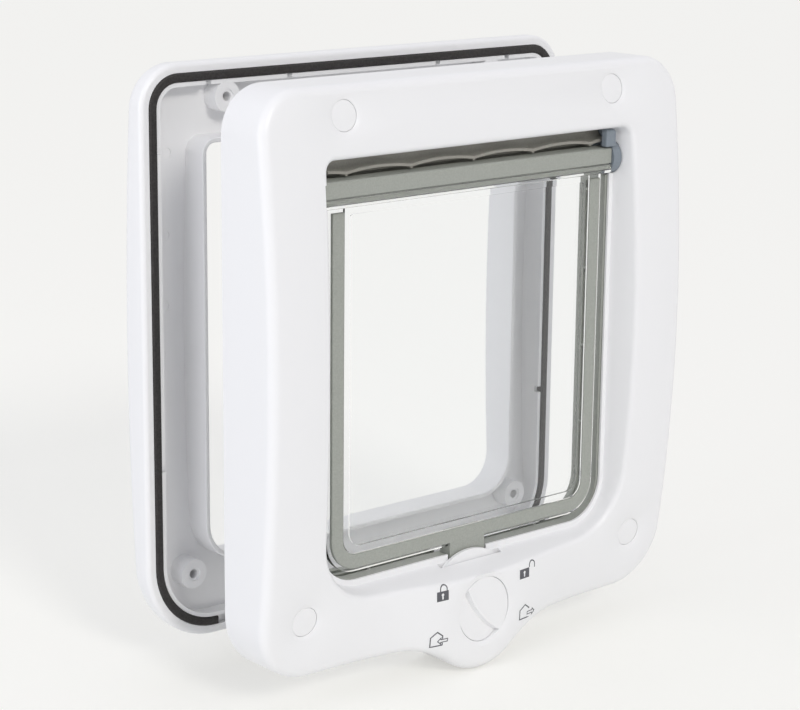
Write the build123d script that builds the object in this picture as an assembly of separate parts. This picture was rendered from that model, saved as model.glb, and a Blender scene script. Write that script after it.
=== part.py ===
"""A four-way locking cat flap in two halves, one for each side of a door, in millimetres.

X runs along the hinge, +Y points out of the house and +Z is up. The origin is the centre of the
tunnel in the plane where the inner frame meets the door.
"""
import math
import os

from build123d import *

# The tunnel and the door
TUNNEL_HALF_WIDTH = 76.0
TUNNEL_TOP = 82.0
TUNNEL_BOTTOM = -84.6
TUNNEL_TOP_CORNER = 3.0
TUNNEL_CORNER = 18.0
DOOR_GAP = 48.2

# The inner frame, seen from the room
FRAME_HALF_WIDTH = 108.0
FRAME_TOP = 110.0
FRAME_BOTTOM = -115.5
FRAME_TOP_CORNER = 18.0
FRAME_BOTTOM_CORNER = 25.0
FRAME_DEPTH = 30.0
FRAME_DOME_RADIUS = 700.0
FRAME_DOME_MIDDLE = 3.5
FRAME_EDGE_ROUND = 4.0
WALL = 2.0

# The flared opening on the room side
REVEAL_REAR_DEPTH = 17.3
REVEAL_SIDE_STEP = 1.0
REVEAL_SIDE_FLARE = 4.4
REVEAL_SILL_STEP = 0.4
REVEAL_SILL_DROP = 6.4
REVEAL_TOP_STEP = 0.6
REVEAL_OVERRUN = 2.0
REVEAL_REAR_CORNER = 20.0
REVEAL_FRONT_CORNER = 32.0
REVEAL_TOP_CORNER = 4.0
REVEAL_FLANGE = 0.8
REVEAL_LIP = 1.0
REVEAL_LIP_WIDTH = 0.9
REVEAL_LIP_HEIGHT = 2.1
REVEAL_EDGE_ROUND = 2.5

# The lock dial and the chin that holds it
DIAL_DROP = 20.1
DIAL_RADIUS = 13.3
DIAL_DEPTH = 3.8
DIAL_GAP = 0.2
DIAL_SET_BACK = 1.2
DIAL_SWELL_REACH = 40.0
DIAL_DISH_WIDTH = 3.3
DIAL_DISH_DEPTH = 0.8
DIAL_RIM_ROUND = 0.8
DIAL_SHAFT_RADIUS = 5.0
DIAL_SCREW_RADIUS = 1.25
GRIP_TURN = 41.0
GRIP_OFFSET = 4.2
GRIP_RADIUS = 39.0
GRIP_DEPTH = 2.9
GRIP_RIM_DEPTH = 0.5
GRIP_DRAFT = 0.9
GRIP_BACK_DEPTH = 1.5
SHAFT_SQUARE = 6.0
CAM_RADIUS = 23.0
CAM_THICKNESS = 1.4
CAM_HUB_RADIUS = 8.0
CAM_LOBE_HALF_ANGLE = 38.0
CAM_CLEARANCE = 0.6
CAM_SLOT_HALF_WIDTH = 16.6
BRIDGE_MARGIN = 0.3
CHIN_BLEND = 40.0
RUNNING_CLEARANCE = 0.05
SEAT_GAP = 0.3

# The flap and its hinge
HINGE_Y = -14.8
HINGE_DROP = 12.2
FLAP_SIDE_GAP = 2.6
FLAP_SILL_GAP = 3.2
PANE_THICKNESS = 2.2
PANE_CORNER = 14.0
PANE_HEAD = 2.0
PANE_RIM_GAP = 0.2
PANE_RIM_WIDTH = 3.0
PANE_RIM_DROP = 6.2
PANE_RIM_PROUD = 1.0
STRIP_INSET = 1.5
STRIP_WIDTH = 5.7
STRIP_DROP = 8.1
STRIP_THICKNESS = 1.4
STRIP_CORNER = 12.5
STRIP_EDGE_ROUND = 0.4
STRIP_GAP = 0.05
TAB_HALF_WIDTH = 9.3
TAB_DEPTH = 5.9
TAB_DROP = 1.6
TAB_CLEARANCE = 1.0
TROUGH_LINING = 1.2
BAR_RADIUS = 4.8
BAR_FRONT_REACH = 5.6
BAR_HALF_HEIGHT = 4.4
BAR_TOP_ROUND = 1.0
BAR_GROOVE_DROP = 1.9
BAR_GROOVE_HEIGHT = 0.6
BAR_END_GAP = 0.3
RAIL_THICKNESS = 1.2
RAIL_ROUND = 0.9
RAIL_TOP_ROUND = 0.3
BUSH_RADIUS = 6.9
BUSH_WIDTH = 4.4
BUSH_GAP = 0.3
POCKET_DEPTH = 1.8
NOTCH_DEPTH = 4.9
NOTCH_HALF_HEIGHT = 4.6
BLOCK_START_X = 68.4
BLOCK_ROUND = 0.5
BLOCK_PLATE = 2.8
PIN_RADIUS = 2.0
PIN_REACH = 4.5
PIN_PRESS_GAP = 0.02

# The magnets
MAGNET_LENGTH = 10.0
MAGNET_HEIGHT = 2.0
MAGNET_DEPTH = 3.0
MAGNET_GAP = 0.1
MAGNET_SKIN = 1.2

# The grey liner round the flap and the scalloped strip over it
LINER_GAP = 0.1
LINER_WALL = 1.8
LINER_FRONT_GAP = 0.3
LINER_REAR_DEPTH = 0.5
LINER_TOP_GAP = 3.0
LINER_GROOVE_DEPTH = 0.9
LINER_GROOVE_DROP = 20.0
LINER_FRONT_GROOVE = (-10.4, -8.3)
LINER_REAR_GROOVE = (-6.4, -3.6)
LINER_RUNG = 1.0
LINER_RUNG_MIDDLE = 5.7
LINER_FLOOR_RUNG_SPACING = 30.0
LINER_SIDE_RUNG_SPACING = 33.0
SEAL_END_GAP = 1.5
SEAL_FRONT_DEPTH = 17.5
SEAL_WALL_FRONT = 12.6
SEAL_WALL = 1.2
SEAL_FLANGE = 1.4
SEAL_LIP_DROP = 6.2
SEAL_LIP_THICKNESS = 1.1
SEAL_LIP_EDGE = 0.3
SEAL_COVE_RADIUS = 3.0
SEAL_COVE_HEIGHT = 5.0
SEAL_WALL_DROP = 6.7
SEAL_RIB_SPACING = 31.8
SEAL_RIB_THICKNESS = 1.0
SEAL_RIB_DROP = 0.6
SEAL_ARCH_RISE = 1.3
DRAUGHT_GAP = 0.4
DRAUGHT_DROP = 9.2
DRAUGHT_THICKNESS = 1.0
DRAUGHT_FLANGE = 5.0

# The screws that clamp both halves on the door
TOP_SCREW_X = 69.4
TOP_SCREW_Z = 98.5
BOTTOM_SCREW_X = 87.7
BOTTOM_SCREW_Z = -91.5
SCREW_HOLE_RADIUS = 2.2
SCREW_PILOT_RADIUS = 1.9
SCREW_BOSS_RADIUS = 4.6
CAP_RADIUS = 5.8
CAP_THICKNESS = 1.6
CAP_DISH_WIDTH = 2.4
CAP_DISH_DEPTH = 0.9
CAP_GAP = 0.1
CAP_SKIRT = 1.2
CAP_SKIRT_DEPTH = 1.0
CAP_EDGE_ROUND = 0.3

# The cover behind the lock
COVER_DEPTH = 3.0
COVER_THICKNESS = 1.6
COVER_HALF_WIDTH = 38.0
COVER_TOP_GAP = 3.0
COVER_SCREW_INSET = 6.0
COVER_SCREW_RADIUS = 1.5
COVER_BOSS_RADIUS = 3.6

# Ribs inside the inner frame
STIFFENER_HEIGHTS = (-55.0, -12.0, 33.0)
STIFFENER_DEPTH = 8.0
STIFFENER_THICKNESS = 1.6

# The outer frame
OUTER_HALF_WIDTH = 110.0
OUTER_TOP = 112.8
OUTER_BOTTOM = -119.0
OUTER_TOP_CORNER = 17.0
OUTER_BOTTOM_CORNER = 33.0
OUTER_DEPTH = 14.0
OUTER_DOME_RADIUS = 1150.0
OUTER_FACE_WALL = 2.5
OUTER_EDGE_ROUND = 3.5
RIM_WIDTH = 3.8
RIM_EDGE_ROUND = 2.0
GASKET_WIDTH = 3.4
GASKET_HEIGHT = 3.2
GASKET_GAP = 0.15
GASKET_PROUD = 0.7
GASKET_ROUND = 0.8
GASKET_END_X = -70.4
GASKET_CUT = 6.0
LIP_WIDTH = 1.6
LIP_NOTCH = 2.6
LIP_TOP_NOTCHES = (39.0, 78.3)
LIP_SIDE_NOTCHES = (80.1, -45.2)
EJECTOR_HEIGHTS = (77.6, 45.0, 16.9)
EJECTOR_RADIUS = 1.9
EJECTOR_MARK = 0.3
COLLAR_HALF_WIDTH = 81.2
COLLAR_TOP = 81.5
COLLAR_BOTTOM = -86.4
COLLAR_TOP_CORNER = 4.0
COLLAR_CORNER = 15.0
COLLAR_WALL = 2.0
COLLAR_PROUD = 2.5
COLLAR_EDGE_ROUND = 0.6
OUTER_BOSS_RADIUS = 6.0
OUTER_PILOT_DEPTH = 7.0
OUTER_SINK = 0.5

# Sizes that follow from the ones above
REACH = 3 * FRAME_HALF_WIDTH
REVEAL_REAR_HALF_WIDTH = TUNNEL_HALF_WIDTH + REVEAL_SIDE_STEP
REVEAL_REAR_BOTTOM = TUNNEL_BOTTOM - REVEAL_SILL_STEP
REVEAL_TOP = TUNNEL_TOP + REVEAL_TOP_STEP
REVEAL_FRONT_DEPTH = FRAME_DEPTH + REVEAL_OVERRUN
REVEAL_FRONT_HALF_WIDTH = REVEAL_REAR_HALF_WIDTH + REVEAL_SIDE_FLARE
REVEAL_FRONT_BOTTOM = REVEAL_REAR_BOTTOM - REVEAL_SILL_DROP
DIAL_Z = TUNNEL_BOTTOM - DIAL_DROP
DIAL_FACE_Y = DIAL_SET_BACK - FRAME_DEPTH
DIAL_FLOOR_Y = DIAL_FACE_Y + DIAL_DEPTH + DIAL_GAP
CHIN_RADIUS = CAM_RADIUS + CAM_CLEARANCE + WALL
HINGE_Z = TUNNEL_TOP - HINGE_DROP
PANE_FRONT = HINGE_Y - PANE_THICKNESS / 2
PANE_REAR = HINGE_Y + PANE_THICKNESS / 2
PANE_HALF_WIDTH = TUNNEL_HALF_WIDTH - LINER_GAP - LINER_WALL - FLAP_SIDE_GAP
PANE_BOTTOM = TUNNEL_BOTTOM + LINER_GAP + LINER_WALL + FLAP_SILL_GAP
STRIP_HALF_WIDTH = PANE_HALF_WIDTH - STRIP_INSET
STRIP_BOTTOM = PANE_BOTTOM + STRIP_INSET
STRIP_TOP = HINGE_Z - STRIP_DROP
TAB_BOTTOM = TUNNEL_BOTTOM - TAB_DROP
TAB_FRONT = PANE_FRONT - STRIP_THICKNESS
TAB_REAR = TAB_FRONT + TAB_DEPTH
POCKET_X = TUNNEL_HALF_WIDTH + POCKET_DEPTH
BUSH_OUTER_X = POCKET_X - BUSH_GAP
BUSH_INNER_X = BUSH_OUTER_X - BUSH_WIDTH
BAR_LEFT_X = -BUSH_OUTER_X
BAR_RIGHT_X = BUSH_INNER_X - BAR_END_GAP
BAR_FRONT = HINGE_Y - BAR_FRONT_REACH
RAIL_TOP = HINGE_Z - BAR_GROOVE_DROP - BAR_GROOVE_HEIGHT
RAIL_BOTTOM = HINGE_Z - BAR_RADIUS - STRIP_GAP - RAIL_THICKNESS
HEAD_RADIUS = math.hypot(BAR_FRONT_REACH, HINGE_Z - RAIL_BOTTOM)
POCKET_RADIUS = {-1: HEAD_RADIUS + BUSH_GAP, 1: BUSH_RADIUS + BUSH_GAP}
PIN_START_X = PANE_HALF_WIDTH - PIN_REACH
LINER_TOP = TUNNEL_TOP - LINER_TOP_GAP
SEAL_HALF_LENGTH = TUNNEL_HALF_WIDTH - LINER_GAP - LINER_WALL - SEAL_END_GAP
DRAUGHT_FRONT = -SEAL_WALL_FRONT + SEAL_WALL + SEAL_FLANGE + DRAUGHT_GAP
FRONT_CAM_Y = TAB_FRONT - CAM_CLEARANCE - CAM_THICKNESS
REAR_CAM_Y = TAB_REAR + CAM_CLEARANCE
CHANNEL_FLOOR = TAB_BOTTOM - TAB_CLEARANCE
CHANNEL_HALF_WIDTH = TAB_HALF_WIDTH + TAB_CLEARANCE
TROUGH_HALF_WIDTH = CHANNEL_HALF_WIDTH + TROUGH_LINING + LINER_GAP
TROUGH_FLOOR = CHANNEL_FLOOR - TROUGH_LINING - LINER_GAP
TROUGH_START = REAR_CAM_Y + CAM_THICKNESS + CAM_CLEARANCE
CAM_SLOT_LOW = DIAL_Z + CAM_HUB_RADIUS + WALL
BRIDGE_LOW = CHANNEL_FLOOR - MAGNET_SKIN - MAGNET_HEIGHT - WALL - 1.6
COVER_TOP = TROUGH_FLOOR - WALL - COVER_TOP_GAP
COVER_SCREW_X = COVER_HALF_WIDTH - COVER_SCREW_INSET
OUTER_FLOOR_DEPTH = OUTER_DEPTH - OUTER_FACE_WALL
SCREWS = [
    (side * x, z)
    for x, z in ((TOP_SCREW_X, TOP_SCREW_Z), (BOTTOM_SCREW_X, BOTTOM_SCREW_Z))
    for side in (-1, 1)
]


def plane_at(y):
    """The upright plane at y, seen from the room, with sketch x along X and sketch y along Z."""
    return Plane(origin=(0, y, 0), x_dir=(1, 0, 0), z_dir=(0, -1, 0))


def block(x_low, x_high, y_low, y_high, z_low, z_high):
    """A box between two corners."""
    size = (x_high - x_low, y_high - y_low, z_high - z_low)
    middle = ((x_low + x_high) / 2, (y_low + y_high) / 2, (z_low + z_high) / 2)
    return Pos(*middle) * Box(*size)


def rod(radius, x, z, y_low, y_high):
    """A cylinder along Y."""
    middle = Pos(x, (y_low + y_high) / 2, z) * Rot(90, 0, 0)
    return middle * Cylinder(radius, y_high - y_low)


def cross_rod(radius, y, z, x_low, x_high):
    """A cylinder along X."""
    middle = Pos((x_low + x_high) / 2, y, z) * Rot(0, 90, 0)
    return middle * Cylinder(radius, x_high - x_low)


def rounded_outline(half_width, top, bottom, top_corner, bottom_corner):
    """A rectangle whose upper and lower corners have radii of their own."""
    face = Pos(0, (top + bottom) / 2) * Rectangle(2 * half_width, top - bottom)
    corners = face.vertices().sort_by(Axis.Y)
    face = fillet(corners[2:], top_corner)
    corners = face.vertices().group_by(Axis.Y)[0]
    return fillet(corners, bottom_corner)


def slab(outline, y_low, y_high):
    """An upright outline given its depth along Y."""
    return extrude(plane_at(y_high) * outline, y_high - y_low)


def tunnel_outline(grow=0.0, bottom=TUNNEL_BOTTOM, top=TUNNEL_TOP):
    """The tunnel's cross-section, made larger all round by grow."""
    return rounded_outline(
        TUNNEL_HALF_WIDTH + grow, top + grow, bottom - grow, TUNNEL_TOP_CORNER + grow, TUNNEL_CORNER + grow
    )


def frame_outline(inset=0.0):
    """The inner frame seen from the room, with the round chin below its dial."""
    face = rounded_outline(
        FRAME_HALF_WIDTH - inset,
        FRAME_TOP - inset,
        FRAME_BOTTOM + inset,
        FRAME_TOP_CORNER - inset,
        FRAME_BOTTOM_CORNER - inset,
    )
    face += Pos(0, DIAL_Z) * Circle(CHIN_RADIUS - inset)
    low = [v for v in face.vertices() if abs(v.Y - FRAME_BOTTOM - inset) < 0.01]
    throats = [v for v in low if abs(v.X) < 2 * CHIN_RADIUS]
    return fillet(throats, CHIN_BLEND + inset)


def face_depth(x, z):
    """How far the room-side face stands off the door: an arched face that swells round the dial."""
    arch = FRAME_DEPTH - (z - FRAME_DOME_MIDDLE) ** 2 / (2 * FRAME_DOME_RADIUS)
    reach = math.hypot(x, z - DIAL_Z) / DIAL_SWELL_REACH
    swell = 1 / (1 + reach**4)
    return (1 - swell) * arch - swell * DIAL_FACE_Y


def face_block(inset):
    """The space behind the room-side face, as far in as the door and as large as the frame."""
    reach_x = FRAME_HALF_WIDTH + 12
    low, high = FRAME_BOTTOM - 28, FRAME_TOP + 12
    columns, rows = 33, 37
    grid = []
    for i in range(columns):
        x = -reach_x + 2 * reach_x * i / (columns - 1)
        line = [low + (high - low) * j / (rows - 1) for j in range(rows)]
        grid.append([Vector(x, -face_depth(x, z) + inset, z) for z in line])
    skin = Face.make_surface_from_array_of_points(grid, tol=0.01, max_deg=4)
    return extrude(skin, amount=2 * FRAME_DEPTH, dir=(0, 1, 0))


def reveal_rear(grow=0.0):
    """Where the flared opening meets the tunnel, made larger all round by grow."""
    return rounded_outline(
        REVEAL_REAR_HALF_WIDTH + grow,
        REVEAL_TOP + grow,
        REVEAL_REAR_BOTTOM - grow,
        REVEAL_TOP_CORNER + grow,
        REVEAL_REAR_CORNER + grow,
    )


def reveal(grow=0.0):
    """The flared opening from the room to the tunnel, made larger all round by grow."""
    front = rounded_outline(
        REVEAL_FRONT_HALF_WIDTH + grow,
        REVEAL_TOP + grow,
        REVEAL_FRONT_BOTTOM - grow,
        REVEAL_TOP_CORNER + grow,
        REVEAL_FRONT_CORNER + grow,
    )
    return loft([plane_at(-REVEAL_REAR_DEPTH) * reveal_rear(grow), plane_at(-REVEAL_FRONT_DEPTH) * front])


def inner_frame():
    """The room-side shell: domed face, flared opening, tunnel, lock housing and screw posts."""
    outside = slab(frame_outline(), -FRAME_DEPTH - 5, 0) & face_block(0)
    rims = [e for e in outside.edges() if e.center().Y < -FRAME_DEPTH / 3]
    outside = fillet(rims, FRAME_EDGE_ROUND)
    mouth = reveal()
    outside -= mouth
    outside -= slab(reveal_rear(), -REVEAL_REAR_DEPTH - 1, 1)
    edge_x = FRAME_HALF_WIDTH - FRAME_EDGE_ROUND - 1
    lips = [
        e
        for e in outside.edges()
        if e.bounding_box().max.Y < -REVEAL_REAR_DEPTH - 2
        and e.bounding_box().max.X < edge_x
        and e.bounding_box().min.X > -edge_x
        and e.bounding_box().max.Z < REVEAL_TOP + 1
        and e.bounding_box().min.Z > REVEAL_FRONT_BOTTOM - 1
    ]
    outside = fillet(lips, REVEAL_EDGE_ROUND)
    cavity = slab(frame_outline(WALL), -FRAME_DEPTH - 5, 1) & face_block(WALL)
    shell = outside - cavity
    bridge_half = CHANNEL_HALF_WIDTH + 2 * WALL
    trough_half = TROUGH_HALF_WIDTH + WALL
    bridge = (TAB_FRONT - BRIDGE_MARGIN, TAB_REAR + BRIDGE_MARGIN)
    solids = [
        slab(tunnel_outline(WALL), -REVEAL_REAR_DEPTH, 0),
        slab(reveal_rear(WALL + REVEAL_FLANGE), -REVEAL_REAR_DEPTH, -REVEAL_REAR_DEPTH + WALL),
        reveal(WALL) & outside,
        rod(DIAL_RADIUS + DIAL_GAP + WALL, 0, DIAL_Z, DIAL_FLOOR_Y - DIAL_DEPTH, DIAL_FLOOR_Y + WALL),
        block(-bridge_half, bridge_half, *bridge, BRIDGE_LOW, TUNNEL_BOTTOM),
        block(-trough_half, trough_half, TAB_REAR, 0, TROUGH_FLOOR - WALL, TUNNEL_BOTTOM),
    ]
    thin = STIFFENER_THICKNESS / 2
    for z in STIFFENER_HEIGHTS:
        for side in (-1, 1):
            low, high = sorted((side * (TUNNEL_HALF_WIDTH + 0.5), side * (FRAME_HALF_WIDTH - 0.5)))
            solids.append(block(low, high, -FRAME_DEPTH, -STIFFENER_DEPTH, z - thin, z + thin) & outside)
    for x in (-SEAL_RIB_SPACING, 0, SEAL_RIB_SPACING):
        rib = block(x - thin, x + thin, -FRAME_DEPTH, -STIFFENER_DEPTH, TUNNEL_TOP + 0.5, FRAME_TOP - 0.5)
        solids.append(rib & outside)
    for x, z in SCREWS:
        seat = cap_seat(x, z)
        solids.append(rod(SCREW_BOSS_RADIUS, x, z, seat - 1, 0))
        solids.append(rod(CAP_RADIUS + CAP_GAP + WALL, x, z, seat - WALL, seat + WALL) & outside)
    for side in (-1, 1):
        low, high = sorted((side * (TUNNEL_HALF_WIDTH + 0.2), side * (POCKET_X + PIN_REACH)))
        solids.append(cross_rod(POCKET_RADIUS[side] + WALL, HINGE_Y, HINGE_Z, low, high))
        solids.append(rod(COVER_BOSS_RADIUS, side * COVER_SCREW_X, DIAL_Z, DIAL_FLOOR_Y, -COVER_DEPTH))
    backing = NOTCH_HALF_HEIGHT + WALL
    low, high = -TUNNEL_HALF_WIDTH - NOTCH_DEPTH - WALL, -TUNNEL_HALF_WIDTH
    wall = block(low, high, -FRAME_DEPTH, HINGE_Y, HINGE_Z - backing, HINGE_Z + backing)
    solids.append(wall & outside)
    shell = shell + solids
    return shell - inner_frame_cuts()


def face_plane(x, z):
    """The plane that touches the room-side face at x and z, looking into the room."""
    lean = (z - FRAME_DOME_MIDDLE) / FRAME_DOME_RADIUS
    return Plane(origin=(x, -face_depth(x, z), z), x_dir=(1, 0, 0), z_dir=(0, -1, lean))


def cap_seat(x, z):
    """The plane in the door's direction that a screw cap rests on."""
    return -face_depth(x, z) + CAP_DISH_DEPTH + CAP_THICKNESS


def dish(plane, radius, width, depth):
    """A shallow cone that sinks the face round a round piece, from depth up to nothing."""
    height = 2 * depth
    return plane * Cone(radius, radius + width * height / depth, height)


def inner_frame_cuts():
    """Everything that is open in the room-side shell."""
    room = -REVEAL_REAR_DEPTH
    slot = CAM_SLOT_HALF_WIDTH
    channel = CHANNEL_HALF_WIDTH
    half = MAGNET_LENGTH / 2 + MAGNET_GAP
    middle = (TAB_FRONT + TAB_REAR) / 2
    deep = MAGNET_DEPTH / 2 + MAGNET_GAP
    sill = TUNNEL_BOTTOM + WALL + REVEAL_LIP_HEIGHT
    lip_low = TUNNEL_BOTTOM + REVEAL_LIP_HEIGHT - REVEAL_LIP_WIDTH
    lip_high = TUNNEL_TOP + REVEAL_LIP_WIDTH + REVEAL_TOP_STEP / 2
    dial_front = Plane(origin=(0, DIAL_FACE_Y, DIAL_Z), x_dir=(1, 0, 0), z_dir=(0, -1, 0))
    cuts = [
        reveal(),
        slab(tunnel_outline(-REVEAL_LIP_WIDTH, lip_low, lip_high), room - 1, 0),
        slab(tunnel_outline(), room + REVEAL_LIP, 1),
        rod(DIAL_RADIUS + DIAL_GAP, 0, DIAL_Z, -FRAME_DEPTH - 5, DIAL_FLOOR_Y),
        dish(dial_front, DIAL_RADIUS - DIAL_GAP, DIAL_DISH_WIDTH, DIAL_DISH_DEPTH),
        rod(DIAL_SHAFT_RADIUS + RUNNING_CLEARANCE, 0, DIAL_Z, DIAL_FLOOR_Y - 1, DIAL_FLOOR_Y + WALL + 1),
        block(-channel, channel, TAB_FRONT - CAM_CLEARANCE, TROUGH_START, CHANNEL_FLOOR, sill),
        block(-TROUGH_HALF_WIDTH, TROUGH_HALF_WIDTH, TROUGH_START, 1, TROUGH_FLOOR, sill),
        block(-slot, slot, FRONT_CAM_Y - CAM_CLEARANCE, TAB_FRONT - BRIDGE_MARGIN, CAM_SLOT_LOW, sill),
        block(-slot, slot, TAB_REAR + BRIDGE_MARGIN, TROUGH_START, CAM_SLOT_LOW, sill),
        block(-half, half, middle - deep, middle + deep, BRIDGE_LOW - 1, CHANNEL_FLOOR - MAGNET_SKIN),
    ]
    for x, z in SCREWS:
        seat = cap_seat(x, z)
        skirt = CAP_RADIUS - CAP_SKIRT - CAP_GAP
        cuts.append(rod(SCREW_HOLE_RADIUS, x, z, seat - 1, 1))
        cuts.append(dish(face_plane(x, z), CAP_RADIUS - CAP_GAP, CAP_DISH_WIDTH, CAP_DISH_DEPTH))
        cuts.append(rod(CAP_RADIUS + CAP_GAP, x, z, -FRAME_DEPTH - 5, seat))
        end = seat + CAP_SKIRT_DEPTH + CAP_GAP
        cuts.append(rod(CAP_RADIUS + CAP_GAP, x, z, seat - 0.5, end) - rod(skirt, x, z, seat - 1, end + 1))
    for side in (-1, 1):
        low, high = sorted((side * PANE_HALF_WIDTH, side * POCKET_X))
        cuts.append(cross_rod(POCKET_RADIUS[side], HINGE_Y, HINGE_Z, low, high))
        low, high = sorted((side * PANE_HALF_WIDTH, side * (POCKET_X + PIN_REACH + 1)))
        cuts.append(cross_rod(PIN_RADIUS + RUNNING_CLEARANCE, HINGE_Y, HINGE_Z, low, high))
        cuts.append(rod(COVER_SCREW_RADIUS, side * COVER_SCREW_X, DIAL_Z, -REVEAL_REAR_DEPTH, 1))
    tall = NOTCH_HALF_HEIGHT
    front = HINGE_Y - BUSH_RADIUS - BUSH_GAP
    outer = -TUNNEL_HALF_WIDTH - NOTCH_DEPTH
    cuts.append(block(outer, -PANE_HALF_WIDTH, -FRAME_DEPTH - 5, front, HINGE_Z - tall, HINGE_Z + tall))
    return cuts


def screw_cap(x, z):
    """A plug that hides one screw: a leaning disc with a skirt that clips into its seat."""
    seat = cap_seat(x, z)
    disc = rod(CAP_RADIUS, x, z, seat - 2 * CAP_THICKNESS - 1, seat)
    disc -= face_plane(x, z) * (Pos(0, 0, CAP_RADIUS - CAP_DISH_DEPTH) * Box(REACH, REACH, 2 * CAP_RADIUS))
    disc = fillet(disc.edges().sort_by(Axis.Y)[0], CAP_EDGE_ROUND)
    skirt = rod(CAP_RADIUS, x, z, seat - 0.5, seat + CAP_SKIRT_DEPTH)
    return disc + skirt - rod(CAP_RADIUS - CAP_SKIRT, x, z, seat, seat + 2 * CAP_SKIRT_DEPTH)


def strip_outline(outer_half, outer_bottom, width, top):
    """A U of even width with round lower corners, open at the top."""
    outer = rounded_outline(outer_half, top + 2 * STRIP_CORNER, outer_bottom, 1, STRIP_CORNER)
    corner = STRIP_CORNER - width
    inner = rounded_outline(outer_half - width, top + 3 * STRIP_CORNER, outer_bottom + width, 1, corner)
    return outer - inner - Pos(0, top + REACH / 2) * Rectangle(REACH, REACH)


def flap_pane():
    """The clear flap: a sheet with a raised border, and a rail along its head that the bar rests on."""
    outline = rounded_outline(PANE_HALF_WIDTH, HINGE_Z + PANE_HEAD, PANE_BOTTOM, 1, PANE_CORNER)
    half = STRIP_HALF_WIDTH - STRIP_WIDTH - PANE_RIM_GAP
    top = HINGE_Z - PANE_RIM_DROP
    bottom = STRIP_BOTTOM + STRIP_WIDTH + PANE_RIM_GAP
    border = rounded_outline(half, top, bottom, 1, STRIP_CORNER - STRIP_WIDTH)
    inner = STRIP_CORNER - STRIP_WIDTH - 1
    width = PANE_RIM_WIDTH
    border -= rounded_outline(half - width, top - width, bottom + width, 1, inner)
    rail = block(BAR_LEFT_X, BAR_RIGHT_X, BAR_FRONT, PANE_REAR, RAIL_BOTTOM, RAIL_BOTTOM + RAIL_THICKNESS)
    rail += block(BAR_LEFT_X, BAR_RIGHT_X, BAR_FRONT, BAR_FRONT + RAIL_THICKNESS, RAIL_BOTTOM, RAIL_TOP)
    edges = [e for e in rail.edges().filter_by(Axis.X) if abs(e.center().Y - BAR_FRONT) < 0.01]
    edges = ShapeList(edges).sort_by(Axis.Z)
    rail = fillet(edges[0], RAIL_ROUND)
    edges = [e for e in rail.edges().filter_by(Axis.X) if abs(e.center().Z - RAIL_TOP) < 0.01]
    rail = fillet(edges, RAIL_TOP_ROUND)
    pane = slab(outline, PANE_FRONT, PANE_REAR) + rail
    pane += slab(border, PANE_FRONT - PANE_RIM_PROUD, PANE_FRONT + 0.5)
    for side in (-1, 1):
        low, high = sorted((side * PIN_START_X, side * (POCKET_X + 1)))
        pane -= cross_rod(PIN_RADIUS + PIN_PRESS_GAP, HINGE_Y, HINGE_Z, low, high)
    return pane


def flap_strip():
    """The grey edge strip on the flap, with the clip below it that carries the magnet."""
    seat = PANE_FRONT - STRIP_GAP
    strip = slab(strip_outline(STRIP_HALF_WIDTH, STRIP_BOTTOM, STRIP_WIDTH, STRIP_TOP), TAB_FRONT, seat)
    strip = fillet(strip.faces().sort_by(Axis.Y)[0].edges(), STRIP_EDGE_ROUND)
    top = STRIP_BOTTOM + STRIP_WIDTH - 1
    tab = TAB_HALF_WIDTH
    strip += block(-tab, tab, TAB_FRONT, seat, TAB_BOTTOM, top)
    strip += block(-tab, tab, TAB_FRONT, TAB_REAR, TAB_BOTTOM, PANE_BOTTOM - MAGNET_GAP)
    strip += block(-tab, tab, PANE_REAR + STRIP_GAP, TAB_REAR, TAB_BOTTOM, top)
    half = MAGNET_LENGTH / 2 + MAGNET_GAP
    middle = (TAB_FRONT + TAB_REAR) / 2
    deep = MAGNET_DEPTH / 2 + MAGNET_GAP
    high = TAB_BOTTOM + MAGNET_HEIGHT + 4 * MAGNET_GAP
    return strip - block(-half, half, middle - deep, middle + deep, TAB_BOTTOM - 1, high)


def magnet(z_low):
    """A bar magnet whose lower side is at z_low, in line with the flap's clip."""
    middle = (TAB_FRONT + TAB_REAR) / 2
    low, high = middle - MAGNET_DEPTH / 2, middle + MAGNET_DEPTH / 2
    return block(-MAGNET_LENGTH / 2, MAGNET_LENGTH / 2, low, high, z_low, z_low + MAGNET_HEIGHT)


def hinge_bar():
    """The grey bar that clips over the flap's upper edge: flat in front, round behind, set on a rail."""
    tall = BAR_HALF_HEIGHT
    bar = block(BAR_LEFT_X, BAR_RIGHT_X, BAR_FRONT, HINGE_Y, HINGE_Z - tall, HINGE_Z + tall)
    corner = [e for e in bar.edges().filter_by(Axis.X) if e.center().Y < BAR_FRONT + 0.1]
    bar = fillet(corner, BAR_TOP_ROUND)
    bar += cross_rod(BAR_RADIUS, HINGE_Y, HINGE_Z, BAR_LEFT_X, BAR_RIGHT_X)
    step = BAR_FRONT + RAIL_THICKNESS + STRIP_GAP
    bar -= block(-REACH, REACH, BAR_FRONT - 1, step, HINGE_Z - 2 * tall, HINGE_Z - BAR_GROOVE_DROP)
    half = PANE_THICKNESS / 2 + STRIP_GAP
    high = HINGE_Z + PANE_HEAD + STRIP_GAP
    bar -= block(-REACH, REACH, HINGE_Y - half, HINGE_Y + half, HINGE_Z - 2 * BAR_RADIUS, high)
    for side in (-1, 1):
        low, high = sorted((side * (PIN_START_X - BAR_END_GAP), side * POCKET_X))
        bar -= cross_rod(PIN_RADIUS + PIN_PRESS_GAP, HINGE_Y, HINGE_Z, low, high)
    return bar


def hinge_pin(side):
    """A steel pin pressed into one end of the flap's head, turning in the frame."""
    low, high = sorted((side * (PIN_START_X + 0.2), side * (POCKET_X + PIN_REACH - 0.5)))
    pin = cross_rod(PIN_RADIUS, HINGE_Y, HINGE_Z, low, high)
    ends = pin.edges().filter_by(GeomType.CIRCLE)
    return chamfer(ends, 0.3)


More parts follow.
